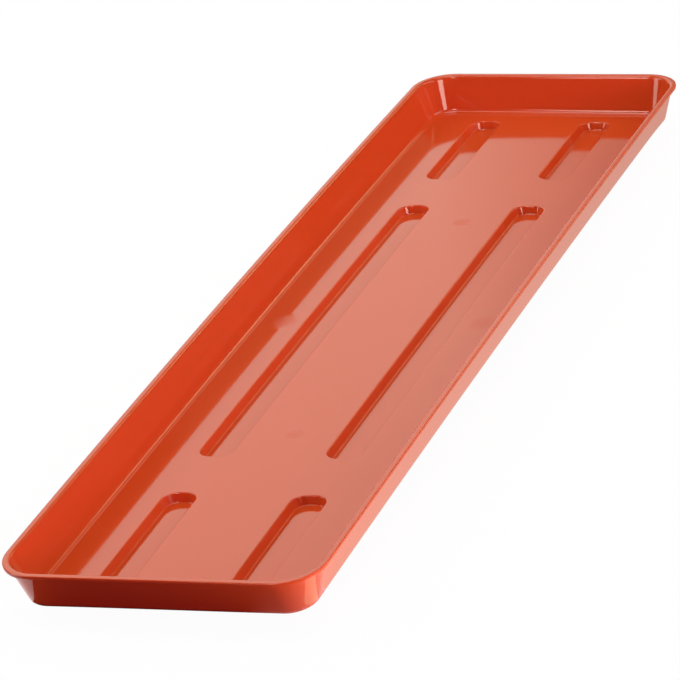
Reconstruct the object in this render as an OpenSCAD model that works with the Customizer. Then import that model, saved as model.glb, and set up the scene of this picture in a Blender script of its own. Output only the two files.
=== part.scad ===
// Planter trough saucer: a shallow drip tray moulded in one piece.
// A flat floor turns up through a rounded bend into four leaning walls with a narrow flat rim.
// Six stadium-shaped channels are pressed down into the floor in two rows, and their undersides
// are the feet that the tray stands on. Four round gate marks show on the floor.
// The origin is under the middle of the tray, on the plane that the feet stand on.
// X runs along the length, Y across the width and Z up.

/* [Tray] */
// Overall length over the rim
length = 600; // [500:5:800]
// Overall width over the rim
width = 165; // [140:1:200]
// Inside depth, from the rim's top down to the floor
depth = 20; // [14:0.5:28]
// Thickness of the moulded sheet
sheet = 1.6; // [1.2:0.1:2.2]
// Lean of the walls away from upright, in degrees
wall_lean = 18; // [8:1:22]
// Radius of the rim's corners, seen from above
corner_r = 22; // [18:0.5:30]
// Radius inside the bend between floor and wall
floor_bend_r = 3; // [1.5:0.1:5]

/* [Rim] */
// Width of the rim, from its outer edge to the inside of the wall
rim_w = 3.6; // [2.8:0.1:6]
// Height of the rim's outer edge
rim_t = 1.8; // [1.4:0.1:3]
// Rounding of the rim's outer edges
rim_edge_r = 0.5; // [0.2:0.05:0.65]
// Rounding of the rim's inner edge, above the wall
rim_inner_r = 1.2; // [0.5:0.1:1.6]

/* [Channels] */
// Distance between the middles of the two rows
row_spacing = 67; // [48:0.5:76]
// Width of a channel at its mouth
channel_w = 22; // [18:0.5:30]
// Depth of a channel below the floor
channel_depth = 5; // [4.2:0.1:8]
// Lean of a channel's sides away from upright, in degrees
channel_lean = 10; // [4:1:25]
// Radius inside the bend at the bottom of a channel
channel_bend_r = 1.2; // [0.6:0.1:2]
// Radius under the rounded edge at a channel's mouth
mouth_bend_r = 0.4; // [0.2:0.1:0.8]
// Length of the short channels at the two ends
short_channel_l = 88; // [50:1:120]
// Floor left flat between a short channel and the wall's bend
end_margin = 14.5; // [6:0.5:25]
// Floor left flat between a short channel and the long one
channel_web = 34; // [15:1:50]

/* [Gate marks] */
// Distance between the two marks on the long middle line
gate_spacing = 252; // [120:1:400]
// Diameter of the marks on the long middle line
gate_d = 10; // [6:0.5:16]
// Distance between the two marks on the short middle line
side_gate_spacing = 114; // [110:1:118]
// Diameter of the marks on the short middle line
side_gate_d = 18; // [12:0.5:20]
// Height of every mark above the floor
gate_rise = 0.2; // [0.1:0.05:0.4]

/* [Hidden] */
$fn = 96;
terracotta = [0.82, 0.27, 0.13];

// Steps along the wide bends and along the small rounded edges
bend_steps = 8;
edge_steps = 4;

// Heights above the plane that the feet stand on
floor_bottom = channel_depth;
floor_top = floor_bottom + sheet;
rim_top = floor_top + depth;

// The axis of the corners and of the wall's section, from the tray's middle
axis_x = length / 2 - corner_r;
axis_y = width / 2 - corner_r;

// Centre of the bend between floor and wall, in from the rim's outer edge
bend_inset = rim_w + floor_bend_r / cos(wall_lean) + (depth - floor_bend_r) * tan(wall_lean);

// The long channel takes up what the short ones and the flat stretches leave of the floor
floor_half_l = length / 2 - bend_inset;
short_channel_x = floor_half_l - end_margin - short_channel_l / 2;
long_channel_l = 2 * (short_channel_x - short_channel_l / 2 - channel_web);

// Centres of the two bends in a channel's side, out from the channel's middle line
mouth_z = floor_bottom - mouth_bend_r;
foot_bend_z = sheet + channel_bend_r;
side_w = (sheet + mouth_bend_r + channel_bend_r) / cos(channel_lean);
foot_bend_out = channel_w / 2 - side_w - (mouth_z - foot_bend_z) * tan(channel_lean);

// Points along an arc from one direction to another, in degrees
function arc(centre, r, from, to, steps) = [
  for (i = [0:steps])
    centre + r * [cos(from + (to - from) * i / steps), sin(from + (to - from) * i / steps)]
];

// Section from the corner's axis out to the rim, over the top of the sheet and back under it
module tray_section() {
  bend_centre = [corner_r - bend_inset, floor_top + floor_bend_r];
  wall_out = bend_centre + (floor_bend_r + sheet) * [cos(wall_lean), -sin(wall_lean)];
  rim_bottom = rim_top - rim_t;
  inner_edge_x = corner_r - rim_w + rim_inner_r / tan(45 + wall_lean / 2);
  polygon(concat(
    [[0, floor_top]],
    arc(bend_centre, floor_bend_r, -90, -wall_lean, bend_steps),
    arc([inner_edge_x, rim_top - rim_inner_r], rim_inner_r, 180 - wall_lean, 90, edge_steps),
    arc([corner_r - rim_edge_r, rim_top - rim_edge_r], rim_edge_r, 90, 0, edge_steps),
    arc([corner_r - rim_edge_r, rim_bottom + rim_edge_r], rim_edge_r, 0, -90, edge_steps),
    [[wall_out.x + (rim_bottom - wall_out.y) * tan(wall_lean), rim_bottom]],
    arc(bend_centre, floor_bend_r + sheet, -wall_lean, -90, bend_steps),
    [[0, floor_bottom]]
  ));
}

// One straight stretch of floor edge, wall and rim, facing along X
module straight_side(run) {
  rotate([90, 0, 0])
    linear_extrude(run, center = true)
      tray_section();
}

// Floor edge, wall and rim all round the tray
module surround() {
  for (side = [0, 180]) {
    rotate([0, 0, side])
      translate([axis_x, 0, 0])
        straight_side(2 * axis_y);
    rotate([0, 0, side + 90])
      translate([axis_y, 0, 0])
        straight_side(2 * axis_x);
  }
  for (sx = [-1, 1], sy = [-1, 1])
    translate([sx * axis_x, sy * axis_y, 0])
      rotate([0, 0, sx > 0 ? (sy > 0 ? 0 : 270) : (sy > 0 ? 90 : 180)])
        rotate_extrude(angle = 90)
          tray_section();
}

// Half outline of a channel's underside or inside, from its bottom out to its mouth
function channel_side(foot_r, mouth_r) = concat(
  arc([foot_bend_out, foot_bend_z], foot_r, -90, -channel_lean, edge_steps),
  arc([channel_w / 2, mouth_z], mouth_r, 180 - channel_lean, 90, edge_steps)
);

// A half outline swept along a channel of the given length, and closed at the given height
module channel_solid(l, outline, top_z) {
  run = l - channel_w;
  side = concat(outline, [[channel_w / 2, top_z]]);
  mirrored = [for (i = [len(side) - 1:-1:0]) [-side[i].x, side[i].y]];
  rotate([90, 0, 90])
    linear_extrude(run, center = true)
      polygon(concat(side, mirrored));
  for (end = [0, 180])
    rotate([0, 0, end])
      translate([run / 2, 0, 0])
        rotate([0, 0, -90])
          rotate_extrude(angle = 180)
            polygon(concat([[0, side[0].y]], side, [[0, top_z]]));
}

// A foot, which reaches halfway up into the floor
module foot(l) {
  channel_solid(l, channel_side(channel_bend_r + sheet, mouth_bend_r), floor_bottom + sheet / 2);
}

// The hollow of a channel, which reaches above the floor
module hollow(l) {
  channel_solid(l, channel_side(channel_bend_r, mouth_bend_r + sheet), floor_top + sheet);
}

// Places each channel by row and column, as [x, y, length]
channel_places = [
  for (row = [-1, 1], column = [-1, 0, 1])
    [column * short_channel_x, row * row_spacing / 2, column == 0 ? long_channel_l : short_channel_l]
];

// Flat floor inside the surround
module floor_plate() {
  translate([-axis_x, -axis_y, floor_bottom])
    cube([2 * axis_x, 2 * axis_y, sheet]);
}

// Round marks where the plastic entered the mould
module gate_marks() {
  for (end = [-1, 1]) {
    translate([end * gate_spacing / 2, 0, floor_top - sheet / 2])
      cylinder(d = gate_d, h = sheet / 2 + gate_rise);
    translate([0, end * side_gate_spacing / 2, floor_top - sheet / 2])
      cylinder(d = side_gate_d, h = sheet / 2 + gate_rise);
  }
}

// The whole moulding
module tray() {
  color(terracotta)
    difference() {
      union() {
        surround();
        floor_plate();
        gate_marks();
        for (place = channel_places)
          translate([place[0], place[1], 0])
            foot(place[2]);
      }
      for (place = channel_places)
        translate([place[0], place[1], 0])
          hollow(place[2]);
    }
}

tray();
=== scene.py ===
import math

import bpy
from mathutils import Matrix, Vector


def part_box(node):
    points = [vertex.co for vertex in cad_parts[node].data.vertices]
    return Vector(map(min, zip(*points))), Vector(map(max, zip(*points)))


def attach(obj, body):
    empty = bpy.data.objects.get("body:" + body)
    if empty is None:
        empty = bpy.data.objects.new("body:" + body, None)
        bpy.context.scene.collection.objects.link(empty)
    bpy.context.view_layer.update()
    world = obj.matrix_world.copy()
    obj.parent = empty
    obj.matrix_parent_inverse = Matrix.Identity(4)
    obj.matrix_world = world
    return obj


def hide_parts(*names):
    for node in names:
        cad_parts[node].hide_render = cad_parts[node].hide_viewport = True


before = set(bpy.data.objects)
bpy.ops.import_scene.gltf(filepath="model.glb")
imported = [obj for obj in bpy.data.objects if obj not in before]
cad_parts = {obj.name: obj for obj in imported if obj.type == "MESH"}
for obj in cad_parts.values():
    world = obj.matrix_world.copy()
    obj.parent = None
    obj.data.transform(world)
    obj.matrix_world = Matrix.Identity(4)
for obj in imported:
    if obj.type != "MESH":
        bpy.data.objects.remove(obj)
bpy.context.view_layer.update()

print("frame loaded:", sorted(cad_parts))


# the tray as moulded, in metres
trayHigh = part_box("tray")[1]
tray = {
    "halfLength": trayHigh.x,
    "halfWidth": trayHigh.y,
    "rimTop": trayHigh.z,
    "depth": 0.020,
    "sheet": 0.0016,
    "lean": math.radians(18),
    "cornerRadius": 0.022,
    "bendRadius": 0.003,
    "rimWidth": 0.0036,
    "rimHeight": 0.0018,
    "rimEdge": 0.0005,
    "rimInnerEdge": 0.0019,
    "bendSteps": 10,
    "edgeSteps": 5,
    "cornerSteps": 20,
    "tight": 0.0004,  # small step beside a bend that keeps the flats flat
    "weld": 0.00001,  # points closer than this are one
    "smoothAngle": math.radians(35),
}
tray["floorTop"] = tray["rimTop"] - tray["depth"]
tray["floorBottom"] = tray["floorTop"] - tray["sheet"]
tray["axisX"] = tray["halfLength"] - tray["cornerRadius"]
tray["axisY"] = tray["halfWidth"] - tray["cornerRadius"]

channel = {
    "rows": (-0.0340, 0.0351),
    "columns": ((-0.22922, 0.0872), (0.0, 0.2999), (0.23095, 0.0889)),  # middle and length
    "bendSteps": 6,
    "endSteps": 14,
    "inside": {
        "width": 0.020,
        "endRadius": 0.008,  # the ends are a little flatter than half a circle
        "flat": tray["floorTop"],
        "bottom": tray["floorTop"] - 0.0045,  # the channel's depth
        "lean": math.radians(20),
        "mouthRadius": 0.0008,
        "bendRadius": 0.0006,
    },
    "under": {
        "width": 0.022,
        "endRadius": 0.009,
        "flat": tray["floorBottom"],
        "bottom": 0.0,
        "lean": math.radians(10),
        "mouthRadius": 0.0004,
        "bendRadius": 0.0028,
    },
}

gateMark = {
    "onLength": (-0.126, 0.126),
    "onLengthSize": 0.012,
    "onWidth": (-0.057, 0.057),
    "onWidthSize": 0.018,
    "rise": 0.00003,
    "edge": 0.16,  # share of the mark's radius over which it rises
    "mattCore": 0.6,  # share of the radius that is fully matt
    "rings": 5,
    "turnSteps": 10,
}


def deselectAll():
    if bpy.context.mode != "OBJECT":
        bpy.ops.object.mode_set(mode="OBJECT")
    bpy.ops.object.select_all(action="DESELECT")


# a lone point, the start of a section drawn in a plane across Y
def startPoint(name, place):
    deselectAll()
    bpy.ops.mesh.primitive_plane_add(size=0.001, location=place)
    piece = bpy.context.object
    piece.name = name
    bpy.ops.object.transform_apply(location=True, rotation=True, scale=True)
    bpy.ops.object.mode_set(mode="EDIT")
    bpy.ops.mesh.select_mode(type="VERT")
    bpy.ops.mesh.select_all(action="SELECT")
    bpy.ops.mesh.merge(type="CENTER")
    bpy.ops.mesh.select_all(action="SELECT")
    return piece


def pull(x, y, z):
    bpy.ops.mesh.extrude_region_move(TRANSFORM_OT_translate={"value": (x, y, z)})


# a section point is (x, z), and each call gives back where the pen then is
def lineTo(pen, target):
    pull(target.x - pen.x, 0, target.y - pen.y)
    return target


# a straight stretch with a small step at both ends
def flatTo(pen, target, tight):
    along = (target - pen).normalized() * tight
    pen = lineTo(pen, pen + along)
    pen = lineTo(pen, target - along)
    return lineTo(pen, target)


# anticlockwise with X to the right and Z up
def arcTo(pen, centre, turn, steps, y):
    bpy.ops.mesh.spin(steps=steps, angle=turn, center=(centre.x, y, centre.y), axis=(0, 1, 0))
    return centre + Matrix.Rotation(turn, 2) @ (pen - centre)


# takes the whole section round a rounded rectangle and back to its start
def sweepRound(middleX, middleY, halfX, halfY, cornerSteps, tight):
    bpy.ops.mesh.select_all(action="SELECT")
    corners = ((1, 1), (-1, 1), (-1, -1), (1, -1))
    runs = ((0, 1), (-1, 0), (0, -1), (1, 0))
    for (sideX, sideY), (alongX, alongY) in zip(corners, runs):
        run = 2 * (halfX * abs(alongX) + halfY * abs(alongY))
        if run > 0:
            for step in (tight, run - 2 * tight, tight):
                pull(alongX * step, alongY * step, 0)
        centre = (middleX + sideX * halfX, middleY + sideY * halfY, 0)
        bpy.ops.mesh.spin(steps=cornerSteps, angle=math.pi / 2, center=centre, axis=(0, 0, -1))
    bpy.ops.mesh.select_all(action="SELECT")
    bpy.ops.mesh.remove_doubles(threshold=tray["weld"])
    bpy.ops.mesh.select_all(action="DESELECT")


# open edges that lie at one height are closed with faces
def fillOpenEdges(piece, height):
    bpy.ops.mesh.select_mode(type="EDGE")
    bpy.ops.mesh.select_all(action="DESELECT")
    bpy.ops.mesh.select_non_manifold(
        extend=False, use_wire=False, use_multi_face=False, use_non_contiguous=False, use_verts=False)
    bpy.ops.object.mode_set(mode="OBJECT")
    points = piece.data.vertices
    for edge in piece.data.edges:
        level = all(abs(points[end].co.z - height) < tray["weld"] for end in edge.vertices)
        edge.select = edge.select and level
    bpy.ops.object.mode_set(mode="EDIT")
    bpy.ops.mesh.fill(use_beauty=True)
    bpy.ops.mesh.select_all(action="DESELECT")


# floor edge, wall and rim in one section, over the top of the sheet and back under it
def makeSurround():
    y = -tray["axisY"]
    steps, tight, lean = tray["bendSteps"], tray["tight"], tray["lean"]
    edge, innerEdge, sheet = tray["rimEdge"], tray["rimInnerEdge"], tray["sheet"]
    rimOut, rimTop = tray["halfLength"], tray["rimTop"]
    rimBottom = rimTop - tray["rimHeight"]
    bend = tray["bendRadius"]
    wallRun = bend / math.cos(lean) + (tray["depth"] - bend) * math.tan(lean)
    bendCentre = Vector((rimOut - tray["rimWidth"] - wallRun, tray["floorTop"] + bend))
    outward = Vector((math.cos(lean), -math.sin(lean)))
    innerEdgeX = rimOut - tray["rimWidth"] + innerEdge / math.tan(math.pi / 4 + lean / 2)
    innerCentre = Vector((innerEdgeX, rimTop - innerEdge))
    wallOut = bendCentre + outward * (bend + sheet)
    underLip = Vector((wallOut.x + (rimBottom - wallOut.y) * math.tan(lean), rimBottom))
    upperCentre = Vector((rimOut - edge, rimTop - edge))
    lowerCentre = Vector((rimOut - edge, rimBottom + edge))
    upTurn = math.pi / 2 - lean

    pen = Vector((bendCentre.x - tight, tray["floorTop"]))
    piece = startPoint("traySurround", (pen.x, y, pen.y))
    pen = lineTo(pen, Vector((bendCentre.x, tray["floorTop"])))
    pen = arcTo(pen, bendCentre, upTurn, steps, y)
    pen = flatTo(pen, innerCentre - outward * innerEdge, tight)
    pen = arcTo(pen, innerCentre, -upTurn, tray["edgeSteps"], y)
    pen = flatTo(pen, upperCentre + Vector((0, edge)), tight)
    pen = arcTo(pen, upperCentre, -math.pi / 2, tray["edgeSteps"], y)
    pen = flatTo(pen, lowerCentre + Vector((edge, 0)), tight / 2)
    pen = arcTo(pen, lowerCentre, -math.pi / 2, tray["edgeSteps"], y)
    pen = lineTo(pen, underLip)
    pen = flatTo(pen, wallOut, tight)
    pen = arcTo(pen, bendCentre, -upTurn, steps, y)
    lineTo(pen, Vector((bendCentre.x - tight, tray["floorBottom"])))
    sweepRound(0, 0, tray["axisX"], tray["axisY"], tray["cornerSteps"], tight)
    return piece


# one face of a channel, from the flat round its mouth down to its bottom
def makeChannelFace(name, x, y, length, face):
    lean, tight, steps = face["lean"], tray["tight"], channel["bendSteps"]
    mouthRadius, bendRadius = face["mouthRadius"], face["bendRadius"]
    mouthOut = face["endRadius"]
    halfEnd = face["width"] / 2 - mouthOut
    mouthZ = face["flat"] - mouthRadius
    footZ = face["bottom"] + bendRadius
    sideRun = (mouthRadius + bendRadius) / math.cos(lean) + (mouthZ - footZ) * math.tan(lean)
    footOut = mouthOut - sideRun
    endX = x + length / 2 - mouthOut
    startY = y - halfEnd
    mouthCentre = Vector((endX + mouthOut, mouthZ))
    footCentre = Vector((endX + footOut, footZ))
    outward = Vector((math.cos(lean), -math.sin(lean)))
    downTurn = math.pi / 2 - lean

    pen = Vector((mouthCentre.x + tight, face["flat"]))
    piece = startPoint(name, (pen.x, startY, pen.y))
    pen = lineTo(pen, Vector((mouthCentre.x, face["flat"])))
    pen = arcTo(pen, mouthCentre, downTurn, steps, startY)
    pen = flatTo(pen, footCentre + outward * bendRadius, tight / 4)
    pen = arcTo(pen, footCentre, -downTurn, steps, startY)
    lineTo(pen, pen - Vector((tight, 0)))
    sweepRound(x, y, endX - x, halfEnd, channel["endSteps"], tight)
    fillOpenEdges(piece, face["bottom"])
    return piece


def makeChannels():
    faces = []
    for y in channel["rows"]:
        for x, length in channel["columns"]:
            faces.append(makeChannelFace("channelInside", x, y, length, channel["inside"]))
            faces.append(makeChannelFace("channelUnder", x, y, length, channel["under"]))
    return faces


# a flat round mark that stands up by a hair, with a soft edge
def makeGateMark(x, y, size):
    rings, tight = gateMark["rings"], tray["tight"]
    pen = Vector((x + size / 2 + tight, tray["floorTop"]))
    piece = startPoint("gateMark", (pen.x, y, pen.y))
    for ring in range(rings + 1):
        out = size / 2 * (1 - gateMark["edge"] * ring / rings)
        rise = gateMark["rise"] * (0.5 - 0.5 * math.cos(math.pi * ring / rings))
        pen = lineTo(pen, Vector((x + out, tray["floorTop"] + rise)))
    sweepRound(x, y, 0, 0, gateMark["turnSteps"], tight)
    fillOpenEdges(piece, tray["floorTop"] + gateMark["rise"])
    return piece


def makeGateMarks():
    marks = [makeGateMark(x, 0, gateMark["onLengthSize"]) for x in gateMark["onLength"]]
    return marks + [makeGateMark(0, y, gateMark["onWidthSize"]) for y in gateMark["onWidth"]]


# the slight hog and twist that the moulding took on as it cooled, and the floor's low crown
coolingWarp = {
    "hog": 0.0028,  # middle above the ends
    "twist": math.radians(2.2),  # from end to end
    "crown": 0.0019,  # floor's middle above its edges
    "crownEnd": 0.06,  # how far in from an end the floor starts to fall
    "crownEndShare": 0.6,  # the ends fall less than the left side
    "rightShare": 0.4,  # the right side less again
    "cornerShare": 0.5,  # and the corners less than the sides
    "farRightFall": 0.0024,  # but the far right corner falls on, close to the wall
    "farRightReach": 0.045,
    "stations": (48, 26),  # cuts along and across the tray
    "cage": (49, 9),  # points along and across the tray
}


# a cage of points round the tray, of which the lower layer is pushed down along the edges
def crownFloor(piece):
    halfLength, halfWidth, top = tray["halfLength"], tray["halfWidth"], tray["rimTop"]
    deselectAll()
    bpy.ops.object.add(type="LATTICE", location=(0, 0, top / 2))
    cage = bpy.context.object
    cage.scale = (2 * halfLength, 2 * halfWidth, top)
    cage.data.points_u, cage.data.points_v = coolingWarp["cage"]
    cage.data.points_w = 2
    cage.data.interpolation_type_w = "KEY_LINEAR"
    # the floor falls by the tray's depth when the lower layer goes down by the cage's height
    lower = coolingWarp["crown"] / tray["depth"]
    farRight = coolingWarp["farRightFall"] / tray["depth"]
    for point in cage.data.points:
        if point.co.z > 0:
            continue
        across = min(abs(point.co.y) * 2, 1.0)
        fall = lower if point.co.y > 0 else lower * coolingWarp["rightShare"]
        fromEnd = (0.5 - abs(point.co.x)) * 2 * halfLength
        along = 1 - min(fromEnd / coolingWarp["crownEnd"], 1.0)
        endFall = coolingWarp["crownEndShare"] * along ** 2
        sideFall = fall * (1 - (1 - coolingWarp["cornerShare"]) * along ** 2)
        point.co_deform.z -= sideFall * across ** 2 + lower * endFall * (1 - across ** 2)
        if point.co.x > 0:
            closeIn = 1 - min(fromEnd / coolingWarp["farRightReach"], 1.0)
            point.co_deform.z -= farRight * closeIn ** 2 * (0.5 - point.co.y)
    deselectAll()
    piece.select_set(True)
    bpy.context.view_layer.objects.active = piece
    push = piece.modifiers.new("crown", "LATTICE")
    push.object = cage
    bpy.ops.object.modifier_apply(modifier=push.name)
    bpy.data.objects.remove(cage)


def applyDeform(piece, method, axis, angle):
    deform = piece.modifiers.new("coolingWarp", "SIMPLE_DEFORM")
    deform.deform_method = method
    deform.deform_axis = axis
    deform.angle = angle
    bpy.ops.object.modifier_apply(modifier=deform.name)


def turnAndApply(piece, turn):
    piece.rotation_euler.x = turn
    bpy.ops.object.transform_apply(location=False, rotation=True, scale=False)


def cutAcross(extent, stations, direction):
    for station in range(1, stations):
        place = direction * extent * (station / stations - 0.5)
        bpy.ops.mesh.select_all(action="SELECT")
        bpy.ops.mesh.bisect(plane_co=place, plane_no=direction)


def warpTray(piece):
    along, across = coolingWarp["stations"]
    bpy.ops.object.mode_set(mode="EDIT")
    cutAcross(2 * tray["halfLength"], along, Vector((1, 0, 0)))
    cutAcross(2 * tray["halfWidth"], across, Vector((0, 1, 0)))
    bpy.ops.object.mode_set(mode="OBJECT")
    crownFloor(piece)
    applyDeform(piece, "TWIST", "X", coolingWarp["twist"])
    turnAndApply(piece, math.pi / 2)  # the bend works across Y, so the tray stands on its side for it
    applyDeform(piece, "BEND", "Z", 4 * coolingWarp["hog"] / tray["halfLength"])
    turnAndApply(piece, -math.pi / 2)
    lowest = min(point.co.z for point in piece.data.vertices)
    piece.location.z = -lowest
    bpy.ops.object.transform_apply(location=True, rotation=False, scale=False)
    print("warped, lifted by", round(-lowest * 1000, 3), "mm")


def makeTray():
    surround = makeSurround()
    deselectAll()
    print("surround drawn:", len(surround.data.vertices), "points")
    channelFaces = makeChannels()
    marks = makeGateMarks()
    deselectAll()
    print("channels and gate marks drawn:", len(channelFaces), "faces and", len(marks), "marks")
    for part in channelFaces + marks:
        part.select_set(True)
    surround.select_set(True)
    bpy.context.view_layer.objects.active = surround
    bpy.ops.object.join()
    piece = bpy.context.object
    piece.name = "trayMoulding"
    bpy.ops.object.mode_set(mode="EDIT")
    fillOpenEdges(piece, tray["floorTop"])
    fillOpenEdges(piece, tray["floorBottom"])
    bpy.ops.mesh.select_all(action="SELECT")
    bpy.ops.mesh.normals_make_consistent(inside=False)
    bpy.ops.object.mode_set(mode="OBJECT")
    warpTray(piece)
    bpy.ops.object.shade_smooth_by_angle(angle=tray["smoothAngle"])
    print("tray joined:", len(piece.data.polygons), "faces")
    return piece


# shader helpers
def newNode(tree, kind, label, x, y):
    node = tree.nodes.new(kind)
    node.label = label
    node.location = (x, y)
    return node


def noiseAt(tree, coords, noise, label, x, y):
    node = newNode(tree, "ShaderNodeTexNoise", label, x, y)
    node.inputs["Scale"].default_value, node.inputs["Detail"].default_value = noise
    tree.links.new(coords, node.inputs["Vector"])
    return node.outputs[0]


# from 0 to 1 as the value goes from the start to the end of an edge
def ramp(tree, value, start, end, label, x, y):
    node = newNode(tree, "ShaderNodeMapRange", label, x, y)
    node.interpolation_type = "SMOOTHSTEP"
    node.inputs["From Min"].default_value = start
    node.inputs["From Max"].default_value = end
    tree.links.new(value, node.inputs["Value"])
    return node.outputs["Result"]


# a share of a value, plus a number or another value
def share(tree, value, amount, plus, label, x, y):
    node = newNode(tree, "ShaderNodeMath", label, x, y)
    node.operation = "MULTIPLY_ADD"
    node.inputs[1].default_value = amount
    tree.links.new(value, node.inputs[0])
    if isinstance(plus, float):
        node.inputs[2].default_value = plus
    else:
        tree.links.new(plus, node.inputs[2])
    return node.outputs[0]


def mathOf(tree, operation, first, second, label, x, y):
    node = newNode(tree, "ShaderNodeMath", label, x, y)
    node.operation = operation
    tree.links.new(first, node.inputs[0])
    if second is not None:
        tree.links.new(second, node.inputs[1])
    return node.outputs[0]


plastic = {
    "colour": (0.85, 0.0980, 0.0197, 1.0),
    "deepColour": (0.74, 0.075, 0.0140, 1.0),  # where the pigment lies thicker
    "ior": 1.5,
    "flowNoise": (14.0, 3.0),  # a noise is its scale and detail
    "flowShare": 0.22,
    "grainNoise": (900.0, 2.0),
    "grainShare": 0.10,
    "polish": 0.062,  # roughness of the cleanest places
    "hazeNoise": (7.0, 4.0),
    "hazeEdge": (0.35, 0.65),  # where the noise turns from clear to hazy
    "haze": 0.022,
    "rubStretch": (6.0, 240.0, 60.0),  # long thin rub marks along the tray
    "rubNoise": (1.0, 2.0),
    "rubEdge": (0.55, 0.72),
    "rub": 0.02,
    "gateRough": (0.22, 0.17),  # on the length, on the width
    "faceTurn": (0.5, 0.9),  # how far up a face looks to count as floor, or down as underside
    "underRough": 0.20,
    "underRub": 0.30,
    "waveNoise": (40.0, 1.0),
    "waveHeight": 0.000007,
    "peelNoise": (520.0, 1.0),
    "peelHeight": 0.0000003,
}


# how matt the surface is at the four gate marks, which lie alike on both sides of the middle
def gateMatt(tree, coords):
    split = newNode(tree, "ShaderNodeSeparateXYZ", "place", -1900, -300)
    tree.links.new(coords, split.inputs[0])
    flat = newNode(tree, "ShaderNodeCombineXYZ", "one quarter, seen flat", -1500, -300)
    for axis in range(2):
        place = split.outputs[axis]
        away = mathOf(tree, "ABSOLUTE", place, None, "from the middle", -1700, -300 - 160 * axis)
        tree.links.new(away, flat.inputs[axis])
    marks = (((gateMark["onLength"][1], 0, 0), gateMark["onLengthSize"]),
             ((0, gateMark["onWidth"][1], 0), gateMark["onWidthSize"]))
    matt = []
    for row, (middle, size) in enumerate(marks):
        level = -300 - 200 * row
        radius = size / 2
        core = radius * gateMark["mattCore"]
        reach = newNode(tree, "ShaderNodeVectorMath", "from the mark", -1300, level)
        reach.operation = "DISTANCE"
        reach.inputs[1].default_value = middle
        tree.links.new(flat.outputs[0], reach.inputs[0])
        mark = ramp(tree, reach.outputs["Value"], radius, core, "gate", -1100, level)
        matt.append(share(tree, mark, plastic["gateRough"][row], 0.0, "how matt", -950, level))
    return mathOf(tree, "MAXIMUM", matt[0], matt[1], "any gate", -800, -300)


# glossy moulded plastic: faint colour flow, a little haze, matt gate marks and a duller underside
def makePlastic():
    material = bpy.data.materials.new("terracottaGloss")
    material.use_nodes = True
    tree = material.node_tree
    shader = tree.nodes["Principled BSDF"]
    shader.inputs["IOR"].default_value = plastic["ior"]
    place = newNode(tree, "ShaderNodeTexCoord", "place on the tray", -2200, 0)
    coords = place.outputs["Object"]

    flow = noiseAt(tree, coords, plastic["flowNoise"], "pigment flow", -900, 500)
    grain = noiseAt(tree, coords, plastic["grainNoise"], "pigment grain", -900, 250)
    deep = share(tree, flow, plastic["flowShare"], 0.0, "flow", -700, 500)
    deep = share(tree, grain, plastic["grainShare"], deep, "flow and grain", -500, 400)
    pigment = newNode(tree, "ShaderNodeMix", "pigment", -300, 400)
    pigment.data_type = "RGBA"
    pigment.inputs["A"].default_value = plastic["colour"]
    pigment.inputs["B"].default_value = plastic["deepColour"]
    tree.links.new(deep, pigment.inputs["Factor"])
    tree.links.new(pigment.outputs["Result"], shader.inputs["Base Color"])

    facing = newNode(tree, "ShaderNodeSeparateXYZ", "facing", -1900, -800)
    tree.links.new(place.outputs["Normal"], facing.inputs[0])
    turned, turnedFully = plastic["faceTurn"]
    upward = ramp(tree, facing.outputs["Z"], turned, turnedFully, "floor side", -1700, -750)
    under = ramp(tree, facing.outputs["Z"], -turned, -turnedFully, "underside", -1700, -1000)
    gate = mathOf(tree, "MULTIPLY", gateMatt(tree, coords), upward, "gate on the floor", -650, -300)
    stretch = newNode(tree, "ShaderNodeMapping", "along the tray", -1900, -1300)
    stretch.inputs["Scale"].default_value = plastic["rubStretch"]
    tree.links.new(coords, stretch.inputs["Vector"])
    streaks = noiseAt(tree, stretch.outputs["Vector"], plastic["rubNoise"], "rub marks", -1700, -1300)
    rubbed = ramp(tree, streaks, *plastic["rubEdge"], "rubbed", -1500, -1300)
    clouds = noiseAt(tree, coords, plastic["hazeNoise"], "haze", -1100, -1000)
    hazy = ramp(tree, clouds, *plastic["hazeEdge"], "hazy", -900, -1000)
    rough = share(tree, hazy, plastic["haze"], plastic["polish"], "polish and haze", -700, -900)
    rough = share(tree, rubbed, plastic["rub"], rough, "rub marks", -500, -800)
    rough = mathOf(tree, "ADD", gate, rough, "matt gates", -300, -700)
    rough = share(tree, under, plastic["underRough"], rough, "dull underside", -100, -800)
    scuffs = mathOf(tree, "MULTIPLY", under, rubbed, "scuffs under it", -500, -1100)
    rough = share(tree, scuffs, plastic["underRub"], rough, "scuffed underside", 0, -950)
    tree.links.new(rough, shader.inputs["Roughness"])

    waves = noiseAt(tree, coords, plastic["waveNoise"], "waves", -700, -1400)
    wave = newNode(tree, "ShaderNodeBump", "slow waviness", -400, -1400)
    wave.inputs["Distance"].default_value = plastic["waveHeight"]
    tree.links.new(waves, wave.inputs["Height"])
    dimples = noiseAt(tree, coords, plastic["peelNoise"], "peel", -700, -1700)
    peel = newNode(tree, "ShaderNodeBump", "fine peel", -200, -1400)
    peel.inputs["Distance"].default_value = plastic["peelHeight"]
    tree.links.new(dimples, peel.inputs["Height"])
    tree.links.new(wave.outputs["Normal"], peel.inputs["Normal"])
    tree.links.new(peel.outputs["Normal"], shader.inputs["Normal"])
    print("plastic mixed:", len(tree.nodes), "nodes")
    return material


trayPiece = makeTray()
trayPiece.data.materials.clear()
trayPiece.data.materials.append(makePlastic())
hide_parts("tray")
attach(trayPiece, "root")


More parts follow.
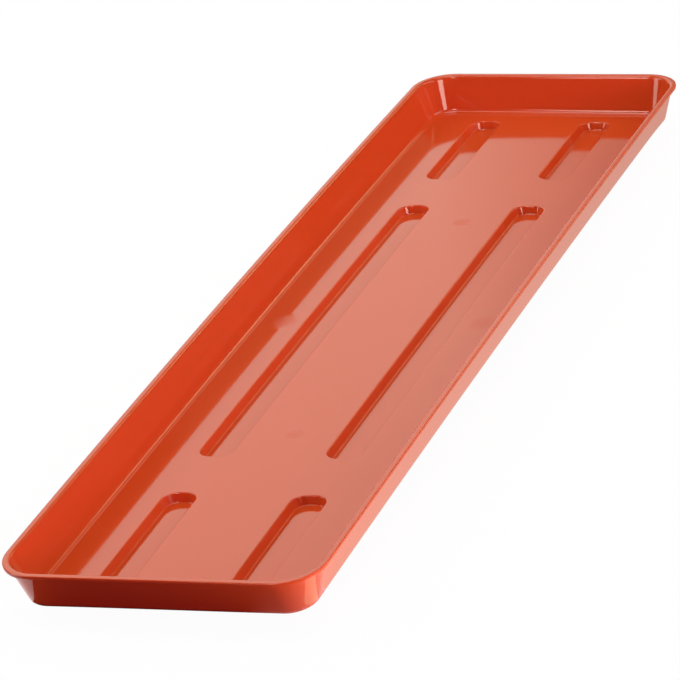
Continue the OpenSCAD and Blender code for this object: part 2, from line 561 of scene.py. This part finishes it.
# a pale floor that shows almost no shadow, and that throws little light back on the tray
ground = {
    "size": 12.0,
    "seenColour": (0.85, 0.85, 0.85, 1.0),
    "bounceColour": (0.04, 0.04, 0.04, 1.0),
    "roughness": 0.9,
    "shine": 0.0,
    "seenWhite": (1.0, 1.0, 1.0, 1.0),
    "seenGlow": 1.02,
    "seenShare": 0.95,  # share of the glow in what is seen, the rest being paint
}


def makeGround():
    deselectAll()
    bpy.ops.mesh.primitive_plane_add(size=ground["size"], location=(0, 0, 0))
    piece = bpy.context.object
    piece.name = "paleFloor"
    material = bpy.data.materials.new("paleFloorPaint")
    material.use_nodes = True
    tree = material.node_tree
    shader = tree.nodes["Principled BSDF"]
    shader.inputs["Roughness"].default_value = ground["roughness"]
    shader.inputs["Specular IOR Level"].default_value = ground["shine"]
    paint = newNode(tree, "ShaderNodeMix", "seen or bounced", -200, 0)
    paint.data_type = "RGBA"
    paint.inputs["A"].default_value = ground["bounceColour"]
    paint.inputs["B"].default_value = ground["seenColour"]
    glow = newNode(tree, "ShaderNodeEmission", "seen white", 0, -300)
    glow.inputs["Color"].default_value = ground["seenWhite"]
    glow.inputs["Strength"].default_value = ground["seenGlow"]
    path = newNode(tree, "ShaderNodeLightPath", "ray", -400, 300)
    seen = path.outputs["Is Camera Ray"]
    mix = newNode(tree, "ShaderNodeMixShader", "mix", 300, 100)
    tree.links.new(seen, paint.inputs["Factor"])
    tree.links.new(paint.outputs["Result"], shader.inputs["Base Color"])
    tree.links.new(share(tree, seen, ground["seenShare"], 0.0, "seen glow", -200, 300), mix.inputs[0])
    tree.links.new(shader.outputs[0], mix.inputs[1])
    tree.links.new(glow.outputs[0], mix.inputs[2])
    tree.links.new(mix.outputs[0], tree.nodes["Material Output"].inputs["Surface"])
    piece.data.materials.append(material)


makeGround()


# the way from the tray's middle to a place, azimuth 0 being straight out along -Y
def outFrom(azimuth, elevation):
    turn, rise = math.radians(azimuth), math.radians(elevation)
    return Vector((math.cos(rise) * math.sin(turn), -math.cos(rise) * math.cos(turn), math.sin(rise)))


view = {
    "aim": (-0.03406, 0.00995),
    "aimBelowRim": 0.01451,
    "azimuth": -64.41,
    "elevation": 24.63,
    "distance": 1.7528,
    "roll": 10.31,
    "lens": 178.2,
    "sensor": 36.0,
    "clipEnd": 50.0,
}


def makeCamera():
    deselectAll()
    away = outFrom(view["azimuth"], view["elevation"])
    rimZ = max(point.co.z for point in trayPiece.data.vertices)
    aim = Vector((*view["aim"], rimZ - view["aimBelowRim"]))
    bpy.ops.object.camera_add(location=aim + away * view["distance"])
    camera = bpy.context.object
    camera.name = "photoCamera"
    camera.data.lens = view["lens"]
    camera.data.sensor_width = view["sensor"]
    look = (-away).to_track_quat("-Z", "Y").to_matrix()
    camera.rotation_euler = (look @ Matrix.Rotation(math.radians(-view["roll"]), 3, "Z")).to_euler()
    camera.data.clip_end = view["clipEnd"]
    bpy.context.scene.camera = camera


makeCamera()


# soft panels round the tray, glow 1 being as bright as white paper
# a gleam only shows in reflections, a fill only as light
# fades: share of the glow at the low edge, share further on, and how far on that is reached
white, warmWhite = (1.0, 1.0, 1.0), (0.96, 1.0, 0.88)
sandWhite, ember = (1.0, 0.88, 0.52), (1.0, 0.22, 0.9)
even = (1.0, 1.0, 1.0)
# what a lamp is where it says nothing else
plainLamp = {"fadeX": even, "fadeY": even, "colour": white, "kind": "soft"}
panels = (
    {"name": "backdropPanel", "azimuth": 125, "elevation": 24.5, "distance": 2.2, "size": (1.96, 1.9),
     "glow": 1.5, "fadeX": (0.0, 1.0, 0.265), "fadeY": (0.652, 1.18, 1.0), "colour": warmWhite},
    {"name": "sidePanel", "azimuth": 79.5, "elevation": 27.5, "distance": 2.2, "size": (1.52, 0.97),
     "glow": 3.8, "fadeX": (1.0, 0.14, 0.42), "colour": sandWhite, "kind": "gleam"},
    {"name": "ceilingPanel", "azimuth": -25, "elevation": 89, "distance": 1.6, "size": (1.2, 1.2),
     "glow": 2.2},
    {"name": "rightSoftbox", "azimuth": 15, "elevation": 28, "distance": 1.6, "size": (1.6, 0.7),
     "glow": 2.3},
    {"name": "rightLowSoftbox", "azimuth": -4, "elevation": 9, "distance": 1.6, "size": (1.6, 0.35),
     "glow": 1.6, "kind": "fill"},
    {"name": "leftSoftbox", "azimuth": -165, "elevation": 34, "distance": 1.8, "size": (1.0, 1.0),
     "glow": 2.8},
    {"name": "cameraFill", "azimuth": -53, "elevation": 10.5, "distance": 1.8, "size": (0.675, 0.38),
     "glow": 8.2, "colour": ember, "kind": "fill"},
    {"name": "cameraStrip", "azimuth": -43, "elevation": 16.5, "distance": 1.6, "size": (0.6, 0.31),
     "glow": 7.4, "fadeY": (0.0, 1.0, 0.4), "colour": warmWhite, "kind": "gleam"},
    {"name": "leftStrip", "azimuth": -151, "elevation": 13, "distance": 1.6, "size": (0.6, 0.6),
     "glow": 3.9, "colour": warmWhite, "kind": "gleam"},
    {"name": "highLeftStrip", "azimuth": -104, "elevation": 37, "distance": 1.6, "size": (0.56, 0.6),
     "glow": 8.0, "colour": warmWhite, "kind": "gleam"},
    {"name": "overheadStrip", "azimuth": 166.6, "elevation": 74, "distance": 1.56, "size": (0.9, 0.36),
     "glow": 2.2, "fadeY": (0.0, 1.0, 0.6), "colour": warmWhite, "kind": "gleam"},
)


def addFade(lamp, fades):
    lamp.data.use_nodes = True
    tree = lamp.data.node_tree
    place = newNode(tree, "ShaderNodeNewGeometry", "place on the panel", -800, 0)
    split = newNode(tree, "ShaderNodeSeparateXYZ", "split", -600, 0)
    both = newNode(tree, "ShaderNodeMath", "both ways", -200, 0)
    both.operation = "MULTIPLY"
    tree.links.new(place.outputs["Parametric"], split.inputs[0])
    for axis, (low, high, reach) in enumerate(fades):
        fade = newNode(tree, "ShaderNodeMapRange", "fade", -400, -300 * axis)
        fade.inputs["From Max"].default_value = reach
        fade.inputs["To Min"].default_value = low
        fade.inputs["To Max"].default_value = high
        tree.links.new(split.outputs[axis], fade.inputs["Value"])
        tree.links.new(fade.outputs["Result"], both.inputs[axis])
    tree.links.new(both.outputs[0], tree.nodes["Emission"].inputs["Strength"])


def addLamp(differences, place, turn, size):
    lampSettings = {**plainLamp, **differences}
    deselectAll()
    bpy.ops.object.light_add(type="AREA", location=place, rotation=turn)
    lamp = bpy.context.object
    lamp.name = lampSettings["name"]
    lamp.data.shape = "RECTANGLE"
    lamp.data.size, lamp.data.size_y = size
    lamp.data.energy = lampSettings["glow"] * math.pi * size[0] * size[1]
    lamp.data.color = lampSettings["colour"]
    lamp.visible_camera = False
    lamp.visible_diffuse = lampSettings["kind"] != "gleam"
    lamp.visible_glossy = lampSettings["kind"] != "fill"
    addFade(lamp, (lampSettings["fadeX"], lampSettings["fadeY"]))


def makePanels():
    for panel in panels:
        away = outFrom(panel["azimuth"], panel["elevation"])
        turn = away.to_track_quat("Z", "Y").to_euler()
        addLamp(panel, away * panel["distance"], turn, panel["size"])


makePanels()


# glowing cards that lie on the floor beside the tray: low and high corner in X and Y
# their fade in Y starts from the high edge
cards = (
    {"name": "rightCard", "low": (-0.26, -0.16), "high": (0.60, -0.068), "glow": 1.0,
     "fadeX": (1.0, 0.5, 1.0), "colour": warmWhite},
    {"name": "cornerCard", "low": (-0.312, -0.16), "high": (-0.26, -0.040), "glow": 0.96,
     "fadeX": (0.0, 1.0, 0.5), "fadeY": (0.0, 1.0, 0.3)},
    {"name": "farRightCard", "low": (-0.30, -0.60), "high": (0.90, -0.16), "glow": 0.4},
    {"name": "frontRightCard", "low": (-0.50, -0.60), "high": (-0.29, -0.115), "glow": 4.0,
     "kind": "fill"},
    {"name": "leftCard", "low": (-0.20, 0.075), "high": (0.90, 0.60), "glow": 0.3},
    {"name": "leftNearCard", "low": (-0.33, 0.074), "high": (-0.20, 0.16), "glow": 1.2},
    {"name": "cornerGleamCard", "low": (-0.290, -0.096), "high": (-0.272, -0.077), "glow": 1.65,
     "colour": sandWhite, "kind": "gleam"},
)
cardHeight = 0.0002  # each one lies this much above the one before


def makeCards():
    for row, card in enumerate(cards):
        low, high = Vector(card["low"]), Vector(card["high"])
        middle = (low + high) / 2
        addLamp(card, (middle.x, middle.y, cardHeight * (row + 1)), (math.pi, 0, 0), high - low)


makeCards()


# a trace of light from all round
studio = {
    "colour": (1.0, 1.0, 1.0, 1.0),
    "glow": 0.02,
}


def makeStudio():
    world = bpy.data.worlds.new("studio")
    bpy.context.scene.world = world
    world.use_nodes = True
    background = world.node_tree.nodes["Background"]
    background.inputs["Color"].default_value = studio["colour"]
    background.inputs["Strength"].default_value = studio["glow"]
    bpy.context.scene.view_settings.view_transform = "Standard"


makeStudio()
print("camera, floor and lights set")
